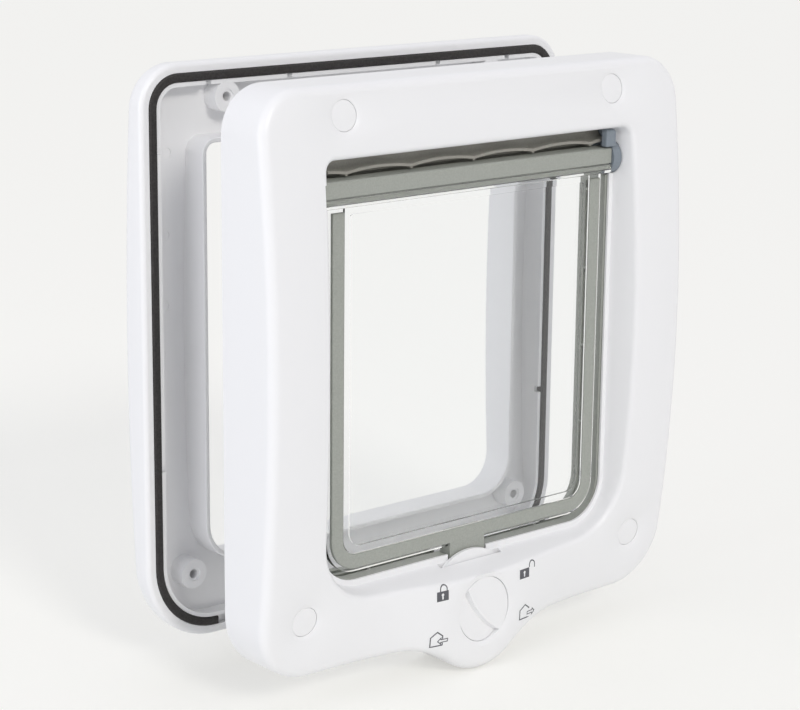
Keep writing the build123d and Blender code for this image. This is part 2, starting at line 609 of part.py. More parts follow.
def bearing_block():
    """The loose bearing at one end of the hinge: a round bush in the frame's pocket under a block."""
    front, rear = HINGE_Y - BUSH_RADIUS, DRAUGHT_FRONT - DRAUGHT_GAP
    low, high = HINGE_Z + BAR_RADIUS + BUSH_GAP, TUNNEL_TOP - LINER_GAP
    end = TUNNEL_HALF_WIDTH - LINER_WALL - 2 * LINER_GAP
    head = block(BUSH_INNER_X, end, front, rear, low, high)
    head += block(BLOCK_START_X, end, front, front + BLOCK_PLATE, low, high)
    head = fillet(head.edges().filter_by(Axis.Z).sort_by(Axis.Y)[:2], BLOCK_ROUND)
    corner = head.edges().filter_by(Axis.Y).sort_by_distance(Vector(end, rear, high))[0]
    head = fillet(corner, TUNNEL_TOP_CORNER / 2)
    bearing = head + cross_rod(BUSH_RADIUS, HINGE_Y, HINGE_Z, BUSH_INNER_X, BUSH_OUTER_X)
    return bearing - cross_rod(PIN_RADIUS + RUNNING_CLEARANCE, HINGE_Y, HINGE_Z, 0, POCKET_X)


def lock_dial():
    """The four-way dial: a knob with a curved ridge between a steep and a gentle slope, on a shaft."""
    rear = DIAL_FACE_Y + DIAL_DEPTH
    knob = rod(DIAL_RADIUS, 0, DIAL_Z, DIAL_FACE_Y, rear)
    rim = knob.edges().filter_by(GeomType.CIRCLE).sort_by(Axis.Y)[0]
    knob = fillet(rim, DIAL_RIM_ROUND)
    far = DIAL_RADIUS + 1
    crest = GRIP_OFFSET - GRIP_DRAFT
    steep = Polygon((0, -2), (0, GRIP_DEPTH), (far, GRIP_RIM_DEPTH), (far, -2), align=None)
    gentle = Polygon((crest, -2), (crest, 0), (-far, GRIP_BACK_DEPTH), (-far, -2), align=None)
    across = Plane(origin=(0, 0, -far), x_dir=(-1, 0, 0), z_dir=(0, 0, 1))
    slopes = [extrude(across * Rot(180, 0, 0) * cut, 2 * far, dir=(0, 0, 1)) for cut in (steep, gentle)]
    middle = Pos(GRIP_RADIUS - GRIP_OFFSET, GRIP_DEPTH / 2, 0) * Rot(90, 0, 0)
    hill = middle * Cone(GRIP_RADIUS, GRIP_RADIUS - 2 * GRIP_DRAFT, 2 * GRIP_DEPTH)
    place = Pos(0, DIAL_FACE_Y, DIAL_Z) * Rot(0, -GRIP_TURN, 0)
    knob -= place * (slopes[0] - hill)
    knob -= place * slopes[1]
    shaft_end = DIAL_FLOOR_Y + WALL + SEAT_GAP
    knob += rod(DIAL_SHAFT_RADIUS, 0, DIAL_Z, rear - 0.5, shaft_end)
    half = SHAFT_SQUARE / 2
    square_end = REAR_CAM_Y + CAM_THICKNESS - 0.1
    knob += block(-half, half, shaft_end - 0.5, square_end, DIAL_Z - half, DIAL_Z + half)
    return knob - rod(DIAL_SCREW_RADIUS + RUNNING_CLEARANCE, 0, DIAL_Z, DIAL_FLOOR_Y + WALL, 0)


def cam_lobe(turn, half_angle):
    """A sector of the cam disc in the XZ plane, centred turn degrees clockwise from up."""
    steps = 24
    points = [(0.0, 0.0)]
    for i in range(steps + 1):
        angle = math.radians(turn - half_angle + 2 * half_angle * i / steps)
        points.append((2 * CAM_RADIUS * math.sin(angle), 2 * CAM_RADIUS * math.cos(angle)))
    return Circle(CAM_RADIUS) & Polygon(*points, align=None)


def cam(plate_y, hub_low, hub_high, lobes):
    """A cam disc with lobes on a round hub, bored square for the dial's shaft."""
    outline = Circle(CAM_HUB_RADIUS)
    for turn, half_angle in lobes:
        outline += cam_lobe(turn, half_angle)
    plate = Pos(0, 0, DIAL_Z) * slab(outline, plate_y, plate_y + CAM_THICKNESS)
    plate += rod(CAM_HUB_RADIUS, 0, DIAL_Z, hub_low, hub_high)
    half = SHAFT_SQUARE / 2 + RUNNING_CLEARANCE
    return plate - block(-half, half, -FRAME_DEPTH, 0, DIAL_Z - half, DIAL_Z + half)


def front_cam():
    """The cam on the room side of the flap's clip: it stops the flap swinging in."""
    start = DIAL_FLOOR_Y + WALL + SEAT_GAP
    end = FRONT_CAM_Y + CAM_THICKNESS
    return cam(FRONT_CAM_Y, start, end, ((0, CAM_LOBE_HALF_ANGLE), (180, CAM_LOBE_HALF_ANGLE)))


def rear_cam():
    """The cam on the garden side of the clip: it stops the flap swinging out."""
    start = FRONT_CAM_Y + CAM_THICKNESS + 0.05
    return cam(REAR_CAM_Y, start, REAR_CAM_Y + CAM_THICKNESS, ((225, 85),))


def dial_washer():
    """The washer that holds both cams on the dial's shaft."""
    low = REAR_CAM_Y + CAM_THICKNESS + 0.05
    return rod(6, 0, DIAL_Z, low, low + 1) - rod(1.6, 0, DIAL_Z, low - 1, low + 2)


def pan_screw(x, z, seat, shank_radius, length, head_radius, head_height):
    """A pan-head screw along Y whose head bears on the plane at seat from the door side."""
    head = rod(head_radius, x, z, seat, seat + head_height)
    head = fillet(head.edges().filter_by(GeomType.CIRCLE).sort_by(Axis.Y)[-1], head_height * 0.4)
    head += rod(shank_radius, x, z, seat - length, seat + 0.2)
    slot = block(x - 0.35, x + 0.35, seat + head_height * 0.45, seat + head_height + 1, z - 1.5, z + 1.5)
    cross = block(x - 1.5, x + 1.5, seat + head_height * 0.45, seat + head_height + 1, z - 0.35, z + 0.35)
    return head - slot - cross


def lock_cover():
    """The plate that closes the lock chamber from the door side."""
    low, high = -COVER_DEPTH, -COVER_DEPTH + COVER_THICKNESS
    outline = frame_outline(WALL + SEAT_GAP)
    outline &= Pos(0, COVER_TOP - REACH / 2) * Rectangle(2 * COVER_HALF_WIDTH, REACH)
    cover = slab(outline, low, high)
    for side in (-1, 1):
        cover -= rod(COVER_SCREW_RADIUS + MAGNET_GAP, side * COVER_SCREW_X, DIAL_Z, low - 1, high + 1)
    return cover


def seal_ring():
    """The grey liner in the tunnel: a U with two ribbed grooves, cut away for the hinge and the clip."""
    front, rear = -REVEAL_REAR_DEPTH + REVEAL_LIP + LINER_FRONT_GAP, -LINER_REAR_DEPTH
    inner = -LINER_GAP - LINER_WALL
    rung = LINER_RUNG / 2
    ring = slab(tunnel_outline(-LINER_GAP), front, rear) - slab(tunnel_outline(inner), front - 1, rear + 1)
    ring -= block(-REACH, REACH, front - 1, rear + 1, LINER_TOP, REACH)
    for low, high in (LINER_FRONT_GROOVE, LINER_REAR_GROOVE):
        groove = slab(tunnel_outline(inner + LINER_GROOVE_DEPTH), low, high)
        for i in range(-3, 2):
            z = LINER_RUNG_MIDDLE + (i + 0.5) * LINER_SIDE_RUNG_SPACING
            groove -= block(-REACH, REACH, low - 1, high + 1, z - rung, z + rung)
        for i in range(-2, 2):
            x = LINER_FLOOR_RUNG_SPACING * (i + 0.5)
            groove -= block(x - rung, x + rung, low - 1, high + 1, -REACH, TUNNEL_BOTTOM + TUNNEL_CORNER)
        ring -= groove & block(-REACH, REACH, -REACH, REACH, -REACH, LINER_TOP - LINER_GROOVE_DROP)
    for side in (-1, 1):
        low, high = sorted((side * (PANE_HALF_WIDTH - 1), side * POCKET_X))
        ring -= cross_rod(POCKET_RADIUS[side] + BUSH_GAP, HINGE_Y, HINGE_Z, low, high)
    lining = TROUGH_HALF_WIDTH - LINER_GAP
    floor = TUNNEL_BOTTOM + LINER_GAP + LINER_WALL
    ring += block(-lining, lining, TROUGH_START, rear, CHANNEL_FLOOR - TROUGH_LINING, floor)
    above = TUNNEL_BOTTOM + 3 * LINER_WALL
    ring -= block(-CHANNEL_HALF_WIDTH, CHANNEL_HALF_WIDTH, front - 1, 1, CHANNEL_FLOOR, above)
    slot = CAM_SLOT_HALF_WIDTH
    return ring - block(-slot, slot, TAB_REAR + BRIDGE_MARGIN, TROUGH_START, -REACH, above)


def top_seal():
    """The cove over the flap: arched bays of a lip and a hollow curve, with ribs under their joints."""
    front, wall = -SEAL_FRONT_DEPTH, -SEAL_WALL_FRONT
    back = wall + SEAL_WALL
    roof = TUNNEL_TOP - LINER_GAP
    low = TUNNEL_TOP - SEAL_LIP_DROP
    pitch = SEAL_RIB_SPACING
    radius = (pitch**2 / 4 + SEAL_ARCH_RISE**2) / (2 * SEAL_ARCH_RISE)
    swing = math.degrees(math.asin(pitch / 2 / radius))
    centre = low + SEAL_ARCH_RISE - radius
    lip = radius + SEAL_LIP_THICKNESS
    high = radius + SEAL_COVE_HEIGHT
    edge = Polyline((front, lip - SEAL_LIP_EDGE), (front, radius), (back, radius), (back, high), (wall, high))
    face = edge + Line(edge @ 1, (wall, lip + SEAL_COVE_RADIUS))
    cove = CenterArc((wall - SEAL_COVE_RADIUS, lip + SEAL_COVE_RADIUS), SEAL_COVE_RADIUS, 270, 90)
    top = Polyline(cove @ 0, (front + SEAL_LIP_EDGE, lip), (front, lip - SEAL_LIP_EDGE))
    section = make_face(face + cove + top)
    bay = Plane(origin=(0, 0, 0), x_dir=(0, 1, 0), z_dir=(1, 0, 0)) * section
    bay = revolve(Rot(0, -swing, 0) * bay, Axis((0, 0, 0), (0, 1, 0)), 2 * swing)
    half = SEAL_HALF_LENGTH
    end = BUSH_INNER_X - 2 * BUSH_GAP
    strip = block(-half, end, wall, back, TUNNEL_TOP - SEAL_WALL_DROP, roof)
    strip += block(-half, end, wall, back + SEAL_FLANGE, roof - SEAL_WALL, roof)
    ribs = SEAL_RIB_THICKNESS / 2
    for i in range(-3, 3):
        strip += Pos((i + 0.5) * pitch, 0, centre) * bay
    for i in range(-2, 3):
        x = i * pitch
        rib = (low - SEAL_RIB_DROP, low + SEAL_LIP_THICKNESS / 2)
        strip += block(x - ribs, x + ribs, front + SEAL_LIP_EDGE, wall + 0.1, *rib)
    return strip & block(-half, end, -REACH, REACH, -REACH, roof)


def draught_strip():
    """The strip behind the flap's head: a plate that hangs from a flange under the tunnel's roof."""
    half = SEAL_HALF_LENGTH
    roof = TUNNEL_TOP - LINER_GAP
    front = DRAUGHT_FRONT
    plate = block(-half, half, front, front + DRAUGHT_THICKNESS, TUNNEL_TOP - DRAUGHT_DROP, roof)
    plate += block(-half, half, front, front + DRAUGHT_FLANGE, roof - DRAUGHT_THICKNESS, roof)
    corner = Vector(0, front + DRAUGHT_THICKNESS, roof - DRAUGHT_THICKNESS)
    inner = plate.edges().filter_by(Axis.X).sort_by_distance(corner)[0]
    return fillet(inner, DRAUGHT_THICKNESS)


def outer_outline(inset=0.0):
    """The outer frame seen along Y."""
    return rounded_outline(
        OUTER_HALF_WIDTH - inset,
        OUTER_TOP - inset,
        OUTER_BOTTOM + inset,
        OUTER_TOP_CORNER - inset,
        OUTER_BOTTOM_CORNER - inset,
    )


def collar_outline(grow=0.0):
    """The passage through the outer frame, made larger all round by grow."""
    return rounded_outline(
        COLLAR_HALF_WIDTH + grow,
        COLLAR_TOP + grow,
        COLLAR_BOTTOM - grow,
        COLLAR_TOP_CORNER + grow,
        COLLAR_CORNER + grow,
    )


def outer_dome(inset):
    """The cylinder whose skin is the outer frame's garden-side face, moved in by inset."""
    centre = DOOR_GAP + OUTER_DEPTH - OUTER_DOME_RADIUS
    return cross_rod(OUTER_DOME_RADIUS - inset, centre, 0, -REACH, REACH)


def outer_floor_y(z):
    """Where the inside of the outer frame's face lies at height z."""
    sag = OUTER_DOME_RADIUS - math.sqrt(OUTER_DOME_RADIUS**2 - z**2)
    return DOOR_GAP + OUTER_FLOOR_DEPTH - sag


def outer_frame():
    """The garden-side half: a domed face with a deep rim, a gasket groove, a collar and four bosses."""
    outside = slab(outer_outline(), DOOR_GAP, DOOR_GAP + 2 * OUTER_DEPTH) & outer_dome(0)
    far = [e for e in outside.edges() if e.bounding_box().min.Y > DOOR_GAP + OUTER_DEPTH / 4]
    outside = fillet(far, OUTER_EDGE_ROUND)
    near = [e for e in outside.edges() if e.bounding_box().max.Y < DOOR_GAP + 0.01]
    outside = fillet(near, RIM_EDGE_ROUND)
    groove_width = GASKET_WIDTH + 2 * GASKET_GAP
    inner = RIM_WIDTH + groove_width + LIP_WIDTH
    hollow = slab(outer_outline(inner), DOOR_GAP - 1, DOOR_GAP + 2 * OUTER_DEPTH)
    hollow &= outer_dome(OUTER_FACE_WALL)
    body = outside - hollow
    solid = outer_dome(OUTER_FACE_WALL / 2)
    for x, z in SCREWS:
        body += rod(OUTER_BOSS_RADIUS, x, z, DOOR_GAP, DOOR_GAP + 2 * OUTER_DEPTH) & solid
    ring = slab(collar_outline(COLLAR_WALL), DOOR_GAP - COLLAR_PROUD, DOOR_GAP + 2 * OUTER_DEPTH)
    ring -= slab(collar_outline(), DOOR_GAP - 2 * COLLAR_PROUD, DOOR_GAP + 3 * OUTER_DEPTH)
    ring = fillet(ring.faces().sort_by(Axis.Y)[0].edges(), COLLAR_EDGE_ROUND)
    body += ring & solid
    floor = DOOR_GAP + GASKET_HEIGHT - GASKET_PROUD
    body -= slab(outer_outline(RIM_WIDTH) - outer_outline(RIM_WIDTH + groove_width), DOOR_GAP - 1, floor)
    body -= slab(collar_outline(), DOOR_GAP - 2 * COLLAR_PROUD, DOOR_GAP + 3 * OUTER_DEPTH)
    notch = LIP_NOTCH / 2
    top = OUTER_TOP - RIM_WIDTH - groove_width + GASKET_GAP
    wide = OUTER_HALF_WIDTH - RIM_WIDTH - groove_width + GASKET_GAP
    deep = LIP_WIDTH + 2 * GASKET_GAP
    for side in (-1, 1):
        for x in LIP_TOP_NOTCHES:
            body -= block(side * x - notch, side * x + notch, DOOR_GAP - 1, floor, top - deep, top)
        low, high = sorted((side * wide, side * (wide - deep)))
        for z in LIP_SIDE_NOTCHES:
            body -= block(low, high, DOOR_GAP - 1, floor, z - notch, z + notch)
        for z in EJECTOR_HEIGHTS:
            x = side * (COLLAR_HALF_WIDTH + COLLAR_WALL + OUTER_HALF_WIDTH - inner) / 2
            mark = outer_floor_y(z) + EJECTOR_MARK
            body -= rod(EJECTOR_RADIUS, x, z, DOOR_GAP + GASKET_PROUD, mark)
    for x, z in SCREWS:
        body -= rod(SCREW_PILOT_RADIUS, x, z, DOOR_GAP - 1, DOOR_GAP + OUTER_PILOT_DEPTH)
        body -= rod(SCREW_PILOT_RADIUS + 2 * OUTER_SINK, x, z, DOOR_GAP - 1, DOOR_GAP + OUTER_SINK)
    return body


def gasket():
    """The foam cord in the outer frame's groove, with a cut where its ends meet."""
    near = RIM_WIDTH + GASKET_GAP
    low, high = DOOR_GAP - GASKET_PROUD, DOOR_GAP + GASKET_HEIGHT - GASKET_PROUD
    cord = slab(outer_outline(near) - outer_outline(near + GASKET_WIDTH), low, high)
    cord = fillet(cord.faces().sort_by(Axis.Y)[0].edges(), GASKET_ROUND)
    end = GASKET_END_X
    above = OUTER_BOTTOM + OUTER_BOTTOM_CORNER / 2
    return cord - block(end - GASKET_CUT, end, low - 1, high + 1, OUTER_BOTTOM, above)


parts = {
    "inner_frame": inner_frame(),
    "seal_ring": seal_ring(),
    "top_seal": top_seal(),
    "draught_strip": draught_strip(),
    "flap_pane": flap_pane(),
    "flap_strip": flap_strip(),
    "flap_magnet": magnet(TAB_BOTTOM + 3 * MAGNET_GAP),
    "sill_magnet": magnet(CHANNEL_FLOOR - MAGNET_SKIN - MAGNET_HEIGHT - MAGNET_GAP),
    "hinge_bar": hinge_bar(),
    "hinge_pin_left": hinge_pin(-1),
    "hinge_pin_right": hinge_pin(1),
    "bearing_block": bearing_block(),
    "lock_dial": lock_dial(),
    "front_cam": front_cam(),
    "rear_cam": rear_cam(),
    "dial_washer": dial_washer(),
    "dial_screw": pan_screw(0, DIAL_Z, REAR_CAM_Y + CAM_THICKNESS + 1.1, DIAL_SCREW_RADIUS, 7, 2.8, 1.8),
    "lock_cover": lock_cover(),
    "outer_frame": outer_frame(),
    "gasket": gasket(),
}
for name, side in (("left", -1), ("right", 1)):
    seat = -COVER_DEPTH + COVER_THICKNESS
    parts["cover_screw_" + name] = pan_screw(side * COVER_SCREW_X, DIAL_Z, seat, 1.45, 9, 2.6, 1.2)
for name, (x, z) in zip(("top_left", "top_right", "bottom_left", "bottom_right"), SCREWS):
    parts["screw_cap_" + name] = screw_cap(x, z)

os.makedirs("parts", exist_ok=True)
for name, shape in parts.items():
    export_step(shape, "parts/" + name + ".step")
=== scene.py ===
# %% [markdown]
# # A four-way locking cat flap
# Two white plastic halves clamp a door between them. The room-side half carries a clear flap and
# a rotary lock, and the garden-side half a foam gasket. The CAD model already holds every moulded
# form, so this lesson dresses it: it lights a pale studio, gives each moulding the surface that
# its plastic has, and adds the small printed signs that only show in a picture.

# %% Load the model
import math

import bmesh
import bpy
from mathutils import Matrix, Vector
from mathutils.bvhtree import BVHTree


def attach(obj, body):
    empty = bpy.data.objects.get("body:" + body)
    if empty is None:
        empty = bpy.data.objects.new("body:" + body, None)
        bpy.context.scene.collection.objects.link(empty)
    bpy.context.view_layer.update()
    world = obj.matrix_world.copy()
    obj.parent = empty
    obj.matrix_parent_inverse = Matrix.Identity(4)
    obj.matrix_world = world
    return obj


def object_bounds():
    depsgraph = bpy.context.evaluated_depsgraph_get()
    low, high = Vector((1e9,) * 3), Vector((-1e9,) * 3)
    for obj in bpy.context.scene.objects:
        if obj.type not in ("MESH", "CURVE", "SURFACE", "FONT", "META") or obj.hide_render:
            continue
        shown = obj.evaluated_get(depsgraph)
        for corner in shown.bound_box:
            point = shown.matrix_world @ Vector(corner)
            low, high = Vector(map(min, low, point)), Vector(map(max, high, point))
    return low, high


MM = 0.001

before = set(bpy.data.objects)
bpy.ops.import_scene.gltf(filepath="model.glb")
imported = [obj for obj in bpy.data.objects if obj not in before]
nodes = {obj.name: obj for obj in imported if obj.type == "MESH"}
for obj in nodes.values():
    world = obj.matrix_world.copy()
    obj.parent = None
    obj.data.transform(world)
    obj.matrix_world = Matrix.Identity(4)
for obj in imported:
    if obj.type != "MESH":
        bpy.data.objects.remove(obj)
cad_low, cad_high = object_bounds()
print("CAD box, mm:", [round(v / MM, 1) for v in (*cad_low, *cad_high)])

# %% [markdown]
# ## The camera
# The picture is taken with a long lens from the left of the flap and a little above it, so that
# the left side of both frames shows. A camera could be aimed with a tracking constraint, but a
# long lens magnifies the smallest turn, so its yaw, pitch and roll are written out. The small
# shift only puts the flap where a slightly cropped picture has it.

# %% Camera
CAMERA_PLACE = (-584.3, -650.2, 205.2)
CAMERA_YAW = 40.22
CAMERA_PITCH = 13.70
CAMERA_ROLL = 0.45
LENS, SENSOR_WIDTH = 101.15, 36
SHIFT_X, SHIFT_Y = 0.0308, 0.0070
NEAREST, FARTHEST = 0.05, 20


def make_camera():
    """A camera at CAMERA_PLACE that looks along +Y, turned by yaw, pitch and roll."""
    yaw, pitch, roll = (math.radians(v) for v in (CAMERA_YAW, CAMERA_PITCH, CAMERA_ROLL))
    level = Vector((math.sin(yaw), math.cos(yaw), 0))
    ahead = level * math.cos(pitch) - Vector((0, 0, math.sin(pitch)))
    right = Vector((math.cos(yaw), -math.sin(yaw), 0))
    up = right.cross(ahead)
    across = right * math.cos(roll) + up * math.sin(roll)
    above = up * math.cos(roll) - right * math.sin(roll)
    data = bpy.data.cameras.new("camera")
    data.lens = LENS
    data.sensor_width = SENSOR_WIDTH
    data.shift_x = SHIFT_X
    data.shift_y = SHIFT_Y
    data.clip_start, data.clip_end = NEAREST, FARTHEST
    camera = bpy.data.objects.new("camera", data)
    bpy.context.scene.collection.objects.link(camera)
    axes = Matrix((across, above, -ahead)).transposed()
    camera.matrix_world = Matrix.Translation(Vector(CAMERA_PLACE) * MM) @ axes.to_4x4()
    bpy.context.scene.camera = camera
    print("camera looks along", [round(v, 3) for v in ahead])


make_camera()

# %% [markdown]
# ## Colours and nodes
# Every finish is a node tree on Blender's Principled shader. Three helpers keep them short: one
# turns a hex colour into Blender's linear values, one adds a node with its settings and links in
# one call, and one starts a material.

# %% Helpers for materials
def colour(hex_code):
    """Turns an sRGB hex colour such as "8FA0B0" into linear RGBA."""
    channels = [int(hex_code[i : i + 2], 16) / 255 for i in (0, 2, 4)]
    linear = [c / 12.92 if c <= 0.04045 else ((c + 0.055) / 1.055) ** 2.4 for c in channels]
    return (*linear, 1.0)


def add(tree, kind, settings=None, **inputs):
    """Adds a node. settings are its properties. inputs are values, or sockets to link from,
    by the socket's name, or by its number as n0, n1 and so on."""
    node = tree.nodes.new(kind)
    for key, value in (settings or {}).items():
        setattr(node, key, value)
    for key, value in inputs.items():
        by_number = key[0] == "n" and key[1:].isdigit()
        socket = node.inputs[int(key[1:]) if by_number else key.replace("_", " ")]
        if isinstance(value, bpy.types.NodeSocket):
            tree.links.new(value, socket)
        else:
            socket.default_value = value
    return node


def new_material(name):
    """An empty node material: returns the material, its tree and its Principled shader."""
    material = bpy.data.materials.new(name)
    material.use_nodes = True
    tree = material.node_tree
    tree.nodes.clear()
    shader = add(tree, "ShaderNodeBsdfPrincipled")
    output = add(tree, "ShaderNodeOutputMaterial")
    tree.links.new(shader.outputs["BSDF"], output.inputs["Surface"])
    print("material", name)
    return material, tree, shader


# %% [markdown]
# ## White moulded ABS
# The two frames, the dial, the cams, the cover and the screw caps are ABS, injection moulded in a
# tool with a fine matt polish. The eye sees an even white with a soft highlight, the faintest
# orange peel about 2 mm across, and a slight change of shade from place to place. One flat colour
# would look like paper, so a soft cloud of noise moves the shade and the gloss a little, and a
# finer noise gives the orange peel as a bump.

# %% The shells' material
ABS_IOR = 1.52
CLOUD_MM = 55.5
PEEL_DEPTH_MM = 0.02
DARKEST_SHADE = 0.988
GLOSS_SPREAD = 0.03


def moulded_white(name, hex_code, roughness, peel_mm, peel_strength):
    """ABS moulded in a polished tool: even colour, soft gloss and faint orange peel."""
    material, tree, shader = new_material(name)
    place = add(tree, "ShaderNodeTexCoord").outputs["Object"]
    noise = add(tree, "ShaderNodeTexNoise", Vector=place, Scale=1 / (CLOUD_MM * MM), Detail=2.0)
    cloud = noise.outputs["Fac"]
    tone = add(tree, "ShaderNodeMapRange", Value=cloud, To_Min=DARKEST_SHADE, To_Max=1.0)
    shade = tone.outputs["Result"]
    scaled = {"operation": "SCALE"}
    tinted = add(tree, "ShaderNodeVectorMath", scaled, n0=colour(hex_code)[:3], Scale=shade)
    tree.links.new(tinted.outputs["Vector"], shader.inputs["Base Color"])
    low, high = roughness - GLOSS_SPREAD, roughness + GLOSS_SPREAD
    gloss = add(tree, "ShaderNodeMapRange", Value=cloud, To_Min=low, To_Max=high)
    tree.links.new(gloss.outputs["Result"], shader.inputs["Roughness"])
    peel = add(tree, "ShaderNodeTexNoise", Vector=place, Scale=1 / (peel_mm * MM), Detail=1.0)
    height = peel.outputs["Fac"]
    depth = PEEL_DEPTH_MM * MM
    bump = add(tree, "ShaderNodeBump", Height=height, Strength=peel_strength, Distance=depth)
    tree.links.new(bump.outputs["Normal"], shader.inputs["Normal"])
    shader.inputs["IOR"].default_value = ABS_IOR
    return material


white_shell = moulded_white("white_moulded_abs", "F6F6F7", 0.36, 2.0, 0.2)

# %% [markdown]
# ## Four grained mouldings
# The strip round the flap, the hinge bar and the liner are grey ABS from a spark-eroded tool,
# which leaves a fine even grain. The cove over the flap and the strip behind its head are a soft
# olive PVC, and the gasket is a black closed-cell foam with pores just under a millimetre wide.
# The bearing block is drawn blue-grey as painted shade: the colour stands for the shaded pocket
# round the hinge, seen through clear plastic. All four differ only in colour, gloss and grain, so
# one function makes them: a noise of the grain's size picks between two close shades and lifts the
# surface. The real grain is about 0.3 mm, finer than a pixel, and is drawn at 0.4 to 0.5 mm.

# %% The grained materials
GRAIN_STRENGTH = 0.6
DARK_UNTIL, LIGHT_FROM = 0.35, 0.65


def grained(name, light_hex, dark_hex, roughness, grain_mm, grain_depth_mm):
    """A moulding with a fine grain: two close shades and a bump of one grain size."""
    material, tree, shader = new_material(name)
    place = add(tree, "ShaderNodeTexCoord").outputs["Object"]
    scale = 1 / (grain_mm * MM)
    noise = add(tree, "ShaderNodeTexNoise", Vector=place, Scale=scale, Detail=3.0, Roughness=0.6)
    grain = noise.outputs["Fac"]
    ramp = add(tree, "ShaderNodeValToRGB", Fac=grain)
    dark, light = ramp.color_ramp.elements
    dark.position, light.position = DARK_UNTIL, LIGHT_FROM
    dark.color, light.color = colour(dark_hex), colour(light_hex)
    tree.links.new(ramp.outputs["Color"], shader.inputs["Base Color"])
    depth = grain_depth_mm * MM
    bump = add(tree, "ShaderNodeBump", Height=grain, Strength=GRAIN_STRENGTH, Distance=depth)
    tree.links.new(bump.outputs["Normal"], shader.inputs["Normal"])
    shader.inputs["Roughness"].default_value = roughness
    shader.inputs["IOR"].default_value = ABS_IOR
    return material


grey_trim = grained("grey_sparked_abs", "A9ACA5", "9C9F98", 0.50, 0.5, 0.03)
dark_seal = grained("olive_soft_pvc", "A09E95", "93918A", 0.45, 0.5, 0.02)
# Painted shade: this blue-grey stands for the shaded pocket round the hinge, seen through clear
# plastic.
shaded_pocket_grey = grained("painted_shade_pocket", "868F98", "7B848D", 0.40, 0.4, 0.02)
foam = grained("black_closed_cell_foam", "343131", "222020", 0.7, 0.9, 0.12)

# %% [markdown]
# ## Clear polycarbonate
# The flap is one clear moulding. Light passes through it almost unchanged, so what shows it is
# the gloss on its face and the dark lines where its thick border bends the view. The shader's
# full transmission bends light through the real wall of the mesh, where a merely see-through
# surface would lose those lines. A very faint flow in the plastic ripples the gloss.

# %% The pane's material
FLOW_MM = 40
FLOW_STRENGTH, FLOW_DEPTH_MM = 0.08, 0.1
POLYCARBONATE_IOR = 1.49


def clear_plastic():
    """Polycarbonate: clear, glossy, with a trace of blue-green."""
    material, tree, shader = new_material("clear_polycarbonate")
    place = add(tree, "ShaderNodeTexCoord").outputs["Object"]
    flow = add(tree, "ShaderNodeTexNoise", Vector=place, Scale=1 / (FLOW_MM * MM), Detail=1.0)
    height = flow.outputs["Fac"]
    depth = FLOW_DEPTH_MM * MM
    bump = add(tree, "ShaderNodeBump", Height=height, Strength=FLOW_STRENGTH, Distance=depth)
    tree.links.new(bump.outputs["Normal"], shader.inputs["Normal"])
    shader.inputs["Base Color"].default_value = colour("FEFFFF")
    shader.inputs["Roughness"].default_value = 0.02
    shader.inputs["IOR"].default_value = POLYCARBONATE_IOR
    shader.inputs["Transmission Weight"].default_value = 1.0
    return material


clear_pane = clear_plastic()

# %% [markdown]
# ## Plated metal
# Only small parts are metal: the hinge pins, the screws and the washer are zinc-plated steel, and
# the two magnets are nickel-plated. Drawn wire leaves fine lines along the part. Noise stretched
# ten times along X, the way the hinge pins lie, draws them as streaks of more and less gloss.

# %% The small metal parts' material
STRETCH = 0.1
STREAK_SPREAD = 0.08


def plated(name, hex_code, roughness, line_mm):
    """Plated steel with fine drawn lines."""
    material, tree, shader = new_material(name)
    place = add(tree, "ShaderNodeTexCoord").outputs["Object"]
    mapping = add(tree, "ShaderNodeMapping", Vector=place, Scale=(STRETCH, 1.0, 1.0))
    along = mapping.outputs["Vector"]
    lines = add(tree, "ShaderNodeTexNoise", Vector=along, Scale=1 / (line_mm * MM), Detail=2.0)
    streak = lines.outputs["Fac"]
    low, high = roughness - STREAK_SPREAD, roughness + STREAK_SPREAD
    gloss = add(tree, "ShaderNodeMapRange", Value=streak, To_Min=low, To_Max=high)
    tree.links.new(gloss.outputs["Result"], shader.inputs["Roughness"])
    shader.inputs["Base Color"].default_value = colour(hex_code)
    shader.inputs["Metallic"].default_value = 1.0
    return material


steel = plated("zinc_plated_steel", "C4C6C8", 0.35, 0.3)
nickel = plated("nickel_plated_magnet", "A8A69F", 0.28, 0.3)

# %% [markdown]
# ## Dressing the CAD nodes
# A CAD node's mesh comes in as loose triangles. Its points could be merged in the mesh itself, but
# modifiers leave it as it was: a Weld modifier joins the triangles and an Edge Split modifier
# keeps the crisp edges, so that rounded walls shade smoothly and edges stay sharp.

# %% Give every node its finish
SCREW_CAPS = [f"screw_cap_{row}_{side}" for row in ("top", "bottom") for side in ("left", "right")]
FINISHES = {
    white_shell: [
        "inner_frame",
        "outer_frame",
        "lock_dial",
        "front_cam",
        "rear_cam",
        "lock_cover",
        *SCREW_CAPS,
    ],
    grey_trim: ["flap_strip", "hinge_bar", "seal_ring"],
    dark_seal: ["top_seal", "draught_strip"],
    shaded_pocket_grey: ["bearing_block"],
    foam: ["gasket"],
    clear_pane: ["flap_pane"],
    steel: [
        "hinge_pin_left",
        "hinge_pin_right",
        "dial_washer",
        "dial_screw",
        "cover_screw_left",
        "cover_screw_right",
    ],
    nickel: ["flap_magnet", "sill_magnet"],
}
WELD_DISTANCE = 0.002 * MM
CREASE_ANGLE = math.radians(24)


def dress(node, material):
    """Gives a CAD node its material and smooth shading between its crisp edges."""
    mesh = node.data
    mesh.materials.clear()
    mesh.materials.append(material)
    mesh.polygons.foreach_set("use_smooth", [True] * len(mesh.polygons))
    weld = node.modifiers.new("weld", "WELD")
    weld.merge_threshold = WELD_DISTANCE
    split = node.modifiers.new("crisp_edges", "EDGE_SPLIT")
    split.split_angle = CREASE_ANGLE


for finish, names in FINISHES.items():
    for name in names:
        dress(nodes[name], finish)
        print(name, len(nodes[name].data.polygons), "triangles,", finish.name)

